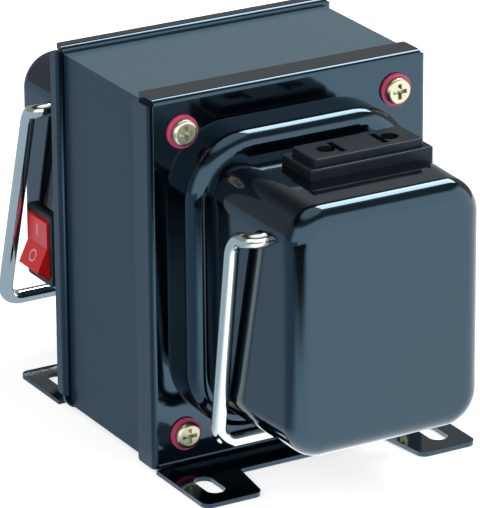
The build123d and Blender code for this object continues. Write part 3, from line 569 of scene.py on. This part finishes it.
# Phenolic, moulded: near black and satin, with a very fine grain that softens what it mirrors.
phenolic, tree = blank("satin_black_phenolic")
where = put(tree, "ShaderNodeTexCoord")
grain = put(tree, "ShaderNodeTexNoise", {"Vector": (where, "Object"), "Scale": noise_scale(14, 10),
                                         "Detail": 3.0})
rough = put(tree, "ShaderNodeMapRange", {0: (grain, 0), 3: 0.28, 4: 0.4})
depth = put(tree, "ShaderNodeBump", {"Height": (grain, 0), "Strength": 0.08, "Distance": 0.0001})
skin = put(tree, "ShaderNodeBsdfPrincipled", {
    "Base Color": linear("181D22"), "Roughness": (rough, 0), "Normal": (depth, 0),
    "Specular IOR Level": 0.24, "Specular Tint": linear("C8E4FA")})
put(tree, "ShaderNodeOutputMaterial", {"Surface": (skin, 0)})
outlet = smooth_copy("outlet_body", "moulded_outlet")
outlet.data.materials.append(phenolic)
finish_shading(outlet)
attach(outlet, "transformer")

# Spring brass: a warm yellow metal, mottled where it has stained.
brass, tree = blank("spring_brass")
where = put(tree, "ShaderNodeTexCoord")
stain = put(tree, "ShaderNodeTexNoise", {"Vector": (where, "Object"), "Scale": noise_scale(35, 100),
                                         "Detail": 3.0})
tone = put(tree, "ShaderNodeMix", {0: (stain, 0), 6: linear("A8823F"), 7: linear("D1AC62")}, data_type="RGBA")
skin = put(tree, "ShaderNodeBsdfPrincipled", {"Base Color": (tone, 2), "Metallic": 1.0, "Roughness": 0.28})
put(tree, "ShaderNodeOutputMaterial", {"Surface": (skin, 0)})
dress(brass, "outlet_contacts")


# Wire bails
# Two 4 mm steel wires, bent cold and bright nickel plated, whose ends turn in holes in the bells.
# Push-on clips of spring steel keep them in from the inside.

# Bright nickel on drawn wire: close to a mirror, so each arm shows the tent as one pale strip and
# the black bell as a dark line beside it.
nickel, tree = blank("bright_plated_steel_wire")
where = put(tree, "ShaderNodeTexCoord")
draw = put(tree, "ShaderNodeTexNoise", {"Vector": (where, "Object"), "Scale": noise_scale(12, 100),
                                        "Detail": 2.0})
rough = put(tree, "ShaderNodeMapRange", {0: (draw, 0), 3: 0.06, 4: 0.13})
skin = put(tree, "ShaderNodeBsdfPrincipled", {"Base Color": linear("C3CAC6"), "Metallic": 1.0,
                                              "Roughness": (rough, 0)})
put(tree, "ShaderNodeOutputMaterial", {"Surface": (skin, 0)})
dress(nickel, "front_bail", "rear_bail")

# Spring steel, hardened: a dull grey metal, rougher in some patches than in others.
spring, tree = blank("spring_steel_clip")
where = put(tree, "ShaderNodeTexCoord")
stain = put(tree, "ShaderNodeTexNoise", {"Vector": (where, "Object"), "Scale": noise_scale(4, 10),
                                         "Detail": 3.0})
rough = put(tree, "ShaderNodeMapRange", {0: (stain, 0), 3: 0.3, 4: 0.5})
skin = put(tree, "ShaderNodeBsdfPrincipled", {"Base Color": linear("7F8286"), "Metallic": 1.0,
                                              "Roughness": (rough, 0)})
put(tree, "ShaderNodeOutputMaterial", {"Surface": (skin, 0)})
dress(spring, "front_bail_clips", "rear_bail_clips")


# Rocker switch
# A snap-in mains switch in the left wall of the rear bell: a moulded black nylon housing, and a red
# polycarbonate rocker with a bar and a ring on it as its on and off marks.

# Black nylon, moulded: a dark satin that varies finely in sheen.
nylon, tree = blank("black_nylon")
where = put(tree, "ShaderNodeTexCoord")
grain = put(tree, "ShaderNodeTexNoise", {"Vector": (where, "Object"), "Scale": noise_scale(12, 10),
                                         "Detail": 3.0})
rough = put(tree, "ShaderNodeMapRange", {0: (grain, 0), 3: 0.3, 4: 0.45})
skin = put(tree, "ShaderNodeBsdfPrincipled", {"Base Color": linear("20272D"), "Roughness": (rough, 0),
                                              "Specular IOR Level": 0.25})
put(tree, "ShaderNodeOutputMaterial", {"Surface": (skin, 0)})
housing = smooth_copy("switch_housing", "switch_frame_and_body")
housing.data.materials.append(nylon)
finish_shading(housing)
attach(housing, "transformer")

# Red polycarbonate: shiny, with a painted glow: a faint orange emission where it faces down to the paper,
# standing for light through the slightly clear plastic.
red, tree = blank("red_polycarbonate")
where = put(tree, "ShaderNodeTexCoord")
haze = put(tree, "ShaderNodeTexNoise", {"Vector": (where, "Object"), "Scale": noise_scale(5, 10),
                                        "Detail": 2.0})
tone = put(tree, "ShaderNodeMix", {0: (haze, 0), 6: linear("B80E18"), 7: linear("CC1420")}, data_type="RGBA")
surface = put(tree, "ShaderNodeNewGeometry")
facing = put(tree, "ShaderNodeSeparateXYZ", {0: (surface, "Normal")})
# Painted glow: the rocker is no lamp, so this emission stands for light coming through the plastic.
painted_glow = put(tree, "ShaderNodeMapRange", {0: (facing, "Z"), 1: -0.1, 2: -0.5, 3: 0.12, 4: 0.75})
skin = put(tree, "ShaderNodeBsdfPrincipled", {
    "Base Color": (tone, 2), "Roughness": 0.22, "Coat Weight": 0.3, "Coat Roughness": 0.1,
    "Emission Color": linear("FF2412"), "Emission Strength": (painted_glow, 0)})
put(tree, "ShaderNodeOutputMaterial", {"Surface": (skin, 0)})
dress(red, "switch_rocker")

# The marks' plastic: pale pink and plain, so that they read on the red.
pale, tree = blank("pale_moulded_switch_marks")
where = put(tree, "ShaderNodeTexCoord")
haze = put(tree, "ShaderNodeTexNoise", {"Vector": (where, "Object"), "Scale": noise_scale(9, 10),
                                        "Detail": 2.0})
tone = put(tree, "ShaderNodeMix", {0: (haze, 0), 6: linear("E39AA8"), 7: linear("F0BCC4")}, data_type="RGBA")
skin = put(tree, "ShaderNodeBsdfPrincipled", {"Base Color": (tone, 2), "Roughness": 0.4})
put(tree, "ShaderNodeOutputMaterial", {"Surface": (skin, 0)})

bar_place = (-0.03063, switch_y, 0.0384)
bar_size = (0.00012, 0.0008, 0.0032)
bar_edge = 0.00003
ring_place = (-0.03218, switch_y, 0.03118)
ring_radius = 0.0018
ring_width = 0.0005
ring_height = 0.00006
ring_lean = math.radians(-64.86)
ring_rise = (math.sin(ring_lean) * ring_height, 0, math.cos(ring_lean) * ring_height)

deselect()
bpy.ops.mesh.primitive_cube_add(size=1, location=bar_place, scale=bar_size)
on_mark = bpy.context.object
bpy.ops.object.mode_set(mode="EDIT")
bpy.ops.mesh.bevel(offset=bar_edge, segments=2, affect="EDGES")
bpy.ops.object.mode_set(mode="OBJECT")

deselect()
bpy.ops.mesh.primitive_circle_add(vertices=circle_steps, radius=ring_radius, fill_type="NGON",
                                  location=ring_place, rotation=(0, ring_lean, 0))
off_mark = bpy.context.object
open_end(off_mark, ring_width)
bpy.ops.object.mode_set(mode="EDIT")
bpy.ops.mesh.select_all(action="SELECT")
bpy.ops.mesh.extrude_region_move(TRANSFORM_OT_translate={"value": ring_rise})
bpy.ops.mesh.select_all(action="SELECT")
bpy.ops.mesh.normals_make_consistent(inside=False)
bpy.ops.object.mode_set(mode="OBJECT")

for mark, title in ((on_mark, "rocker_on_mark"), (off_mark, "rocker_off_mark")):
    mark.name = title
    pick(mark)
    bpy.ops.object.transform_apply(location=True, rotation=True, scale=True)
    mark.data.materials.append(pale)
    finish_shading(mark)
    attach(mark, "rocker")


# Fuse holder
# A panel fuse holder in black phenolic with a slotted bayonet cap and a nut inside; the 5 x 20 fuse in
# it is a clear glass tube with nickel-plated ends.
for name, title, body in (
    ("fuse_holder", "fuse_holder_barrel", "transformer"),
    ("fuse_holder_nut", "fuse_holder_ring_nut", "transformer"),
    ("fuse_cap", "fuse_holder_cap", "fuse_plug"),
):
    piece = smooth_copy(name, title)
    piece.data.materials.append(phenolic)
    finish_shading(piece)
    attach(piece, body)

# Fuse glass, drawn as a tube: clear, with a faint ripple in what shows through it.
glass, tree = blank("clear_fuse_glass")
where = put(tree, "ShaderNodeTexCoord")
ripple = put(tree, "ShaderNodeTexNoise", {"Vector": (where, "Object"), "Scale": noise_scale(2, 10),
                                          "Detail": 1.0})
depth = put(tree, "ShaderNodeBump", {"Height": (ripple, 0), "Strength": 0.05, "Distance": 0.0002})
skin = put(tree, "ShaderNodeBsdfPrincipled", {
    "Base Color": linear("F2F7F5"), "Roughness": 0.02, "Normal": (depth, 0),
    "Transmission Weight": 1.0, "IOR": 1.5})
put(tree, "ShaderNodeOutputMaterial", {"Surface": (skin, 0)})
dress(glass, "fuse_glass")

# Nickel-plated brass: a bright, slightly warm metal, duller in some patches.
plate, tree = blank("nickel_plated_brass")
where = put(tree, "ShaderNodeTexCoord")
stain = put(tree, "ShaderNodeTexNoise", {"Vector": (where, "Object"), "Scale": noise_scale(35, 100),
                                         "Detail": 3.0})
rough = put(tree, "ShaderNodeMapRange", {0: (stain, 0), 3: 0.12, 4: 0.25})
skin = put(tree, "ShaderNodeBsdfPrincipled", {"Base Color": linear("D2CBBE"), "Metallic": 1.0,
                                              "Roughness": (rough, 0)})
put(tree, "ShaderNodeOutputMaterial", {"Surface": (skin, 0)})
dress(plate, "fuse_ferrules")


# Mains grommet
# A rubber grommet, moulded and then pushed into the back of the rear bell, where it lines the hole
# for the mains lead.

# Black rubber: matt and finely grained, with a soft sheen on the rounded lip.
rubber, tree = blank("black_moulded_rubber")
where = put(tree, "ShaderNodeTexCoord")
grain = put(tree, "ShaderNodeTexNoise", {"Vector": (where, "Object"), "Scale": noise_scale(15, 10),
                                         "Detail": 4.0})
depth = put(tree, "ShaderNodeBump", {"Height": (grain, 0), "Strength": 0.2, "Distance": 0.0001})
rough = put(tree, "ShaderNodeMapRange", {0: (grain, 0), 3: 0.55, 4: 0.75})
skin = put(tree, "ShaderNodeBsdfPrincipled", {"Base Color": linear("16181A"), "Roughness": (rough, 0),
                                              "Normal": (depth, 0)})
put(tree, "ShaderNodeOutputMaterial", {"Surface": (skin, 0)})
grommet = smooth_copy("cord_grommet", "lead_grommet")
grommet.data.materials.append(rubber)
finish_shading(grommet)
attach(grommet, "transformer")
